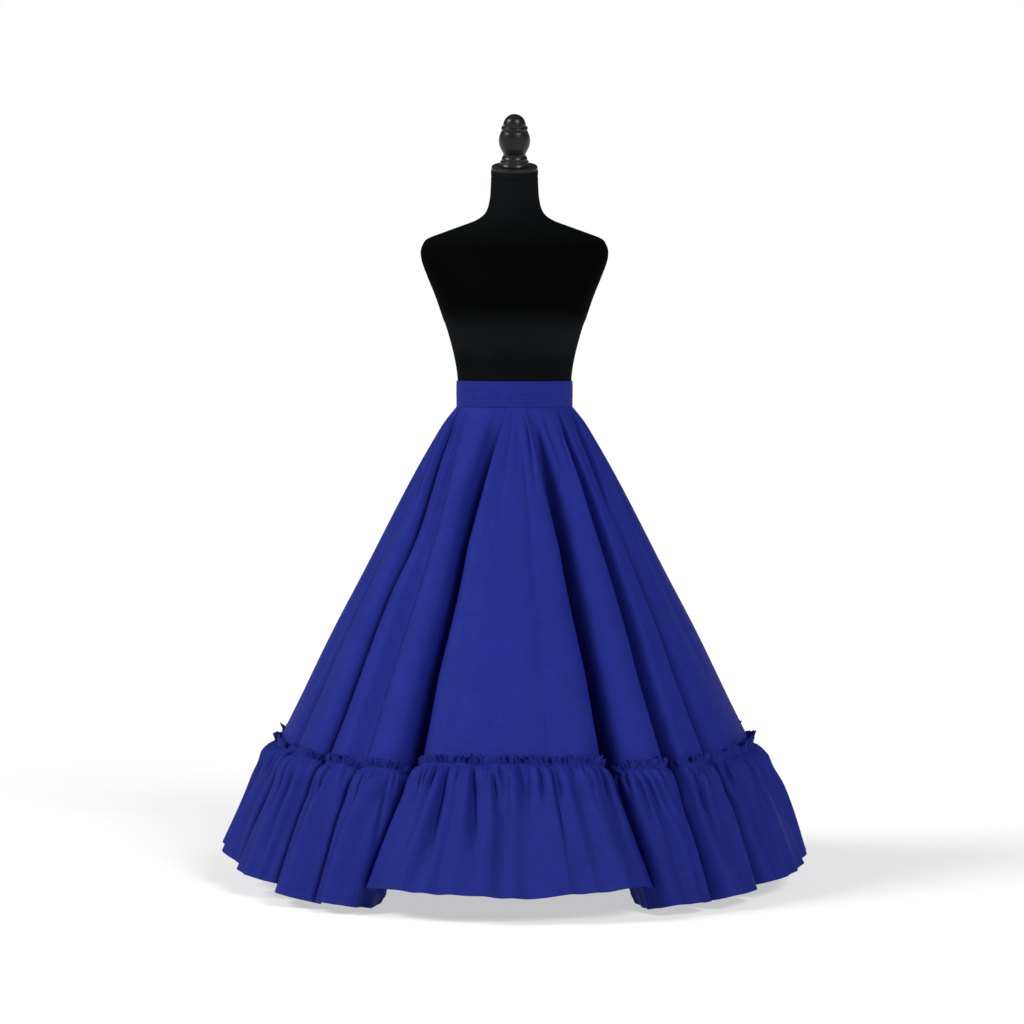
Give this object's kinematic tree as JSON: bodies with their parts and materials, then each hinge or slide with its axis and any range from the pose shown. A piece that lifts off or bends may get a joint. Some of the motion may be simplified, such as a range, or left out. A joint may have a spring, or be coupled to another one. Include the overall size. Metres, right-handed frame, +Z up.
{
  "type": "folklorico skirt on dress form",
  "caption": "Full royal-blue folk-dance skirt with a gathered, frilled hem ruffle, worn on a black limbless dress form with a turned finial, on its stand.",
  "frame": {"origin": "centre of the underside of the stand's round base, on the floor", "axes": "+Z up along the pole; the front of the skirt and of the form faces -Y; +X to the right of the picture"},
  "size_m": [1.1859, 1.1343, 1.565],
  "materials": {
    "cloth": "plain-woven royal-blue cotton with a soft low sheen",
    "button": "satin blue",
    "form_cover": "short-pile black velvet",
    "cap_metal": "dark grey satin paint",
    "finial_gloss": "turned, painted black and polished",
    "stand_paint": "black satin paint"
  },
  "bodies": {
    "root": {"waistband": "cloth", "waistband_button": "button", "skirt_front": "cloth", "skirt_back_right": "cloth", "skirt_back_left": "cloth", "ruffle_front": "cloth", "ruffle_back_right": "cloth", "ruffle_back_left": "cloth", "form_torso": "form_cover", "form_neck_cap": "cap_metal", "form_finial": "finial_gloss", "stand_pole": "stand_paint", "stand_base": "stand_paint"}
  },
  "joints": []
}
